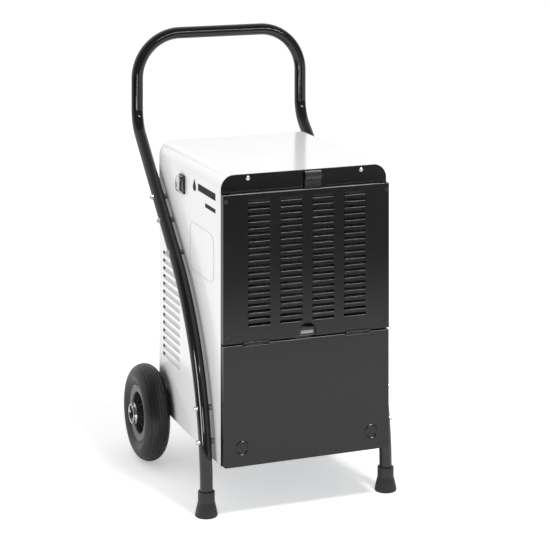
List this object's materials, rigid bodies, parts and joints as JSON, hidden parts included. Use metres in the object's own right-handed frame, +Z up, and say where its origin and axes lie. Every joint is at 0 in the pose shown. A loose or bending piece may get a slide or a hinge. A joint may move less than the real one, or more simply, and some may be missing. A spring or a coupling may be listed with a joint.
{
  "type": "wheeled condensation dehumidifier",
  "caption": "Upright refrigerant dehumidifier in a sheet-metal cabinet, carried by a bent-tube trolley frame with wheels, slotted intake cover and hinged tank flap.",
  "frame": {"origin": "on the floor, under the middle of the whole object's width and depth", "axes": "+X to the right seen from the front, +Y from the black front panels to the handle at the rear, +Z up"},
  "size_m": [0.478, 0.531, 0.8826],
  "materials": {
    "white_paint": "gloss white powder coat",
    "black_paint": "satin black powder coat",
    "black_gloss": "gloss black powder coat",
    "black_steel": "black passivated screws",
    "zinc": "bright zinc plating",
    "chrome": "bright chrome plating",
    "galvanised": "galvanised sheet with a faint spangle",
    "filter_metal": "mill-finish strip",
    "filter_net": "fine dark net",
    "tab_plastic": "dark moulded filter frame and pull tab",
    "foot_rubber": "smooth dark rubber",
    "tyre_rubber": "ribbed tyre rubber",
    "rim_paint": "light grey painted rim",
    "nylon": "natural nylon bush",
    "black_plastic": "fine-textured black plastic",
    "cord_jacket": "matt cable jacket",
    "red_lens": "translucent red lens",
    "clear_cover": "clear flexible splash cover",
    "fin_aluminium": "bare fin stock",
    "copper": "bare copper tube",
    "compressor_paint": "semi-gloss black enamel",
    "motor_paint": "dark grey motor enamel",
    "fan_plastic": "glass-filled black plastic",
    "tank_plastic": "milky polypropylene",
    "lid_plastic": "dark grey polypropylene",
    "float_plastic": "orange foam float",
    "board": "green circuit board and black parts",
    "capacitor_can": "drawn can",
    "magnet": "dark ferrite in a cup"
  },
  "bodies": {
    "cabinet": {"casing": "white_paint", "front_frame": "black_paint", "intake_cover": "black_paint", "black_screws": "black_steel", "cover_spacers": "zinc", "lip_screws": "zinc", "fixed_hinge_leaves": "black_paint", "hinge_pins": "zinc", "base_pan": "galvanised", "rear_panel": "white_paint", "tank_bay": "galvanised", "float_switch": "black_plastic", "drip_tray": "black_plastic", "evaporator_fins": "fin_aluminium", "evaporator_bends": "copper", "condenser_fins": "fin_aluminium", "condenser_bends": "copper", "coil_end_plates": "galvanised", "fan_shroud": "galvanised", "fan_motor": "motor_paint", "motor_bracket": "galvanised", "compressor": "compressor_paint", "compressor_grommets": "foot_rubber", "refrigerant_pipes": "copper", "filter_drier": "copper", "electrics_box": "galvanised", "control_board": "board", "run_capacitor": "capacitor_can", "switch_bezel": "black_plastic", "switch_cover": "clear_cover", "frame_tube": "black_gloss", "rubber_feet": "foot_rubber", "tube_spacers": "white_paint", "tube_bolts": "zinc", "axle": "zinc", "axle_brackets": "galvanised", "axle_washers": "zinc", "hub_caps": "chrome", "cord_gland": "black_plastic", "cord_hooks": "black_plastic", "power_cord": "cord_jacket", "power_plug": "black_plastic"},
    "left_wheel": {"left_tyre": "tyre_rubber", "left_rim": "rim_paint", "left_bush": "nylon"},
    "right_wheel": {"right_tyre": "tyre_rubber", "right_rim": "rim_paint", "right_bush": "nylon"},
    "flap": {"tank_flap": "black_paint", "moving_hinge_leaves": "black_paint", "flap_magnets": "magnet"},
    "tank": {"tank_body": "tank_plastic", "tank_lid": "lid_plastic"},
    "float": {"tank_float": "float_plastic"},
    "filter": {"filter_frame": "tab_plastic", "filter_mesh": "filter_net", "filter_strip": "filter_metal"},
    "rocker": {"switch_rocker": "black_plastic", "rocker_lens": "red_lens"},
    "fan": {"fan_impeller": "fan_plastic"}
  },
  "joints": [
    {"name": "left_wheel_spin", "type": "hinge", "parent": "cabinet", "child": "left_wheel", "pos_m": [-0.205, 0.1289, 0.098], "axis": [1, 0, 0], "continuous": true},
    {"name": "right_wheel_spin", "type": "hinge", "parent": "cabinet", "child": "right_wheel", "pos_m": [0.205, 0.1289, 0.098], "axis": [1, 0, 0], "continuous": true},
    {"name": "flap_swing", "type": "hinge", "parent": "cabinet", "child": "flap", "pos_m": [0, -0.2631, 0.33725], "axis": [-1, 0, 0], "range_deg": [0, 165]},
    {"name": "tank_slide", "type": "slide", "parent": "cabinet", "child": "tank", "axis": [0, -1, 0], "range_m": [0, 0.2823]},
    {"name": "float_rise", "type": "slide", "parent": "tank", "child": "float", "axis": [0, 0, 1], "range_m": [0, 0.025]},
    {"name": "filter_lift", "type": "slide", "parent": "cabinet", "child": "filter", "axis": [0, 0, 1], "range_m": [0, 0.29]},
    {"name": "switch_press", "type": "hinge", "parent": "cabinet", "child": "rocker", "pos_m": [-0.17, -0.0151, 0.599], "axis": [0, 1, 0], "range_deg": [0, 16]},
    {"name": "fan_spin", "type": "hinge", "parent": "cabinet", "child": "fan", "pos_m": [0, -0.1051, 0.48], "axis": [0, 1, 0], "continuous": true}
  ],
  "couplings": [
    {"joint": "tank_slide", "follows": "flap_swing", "m_per_rad": 0.098}
  ]
}
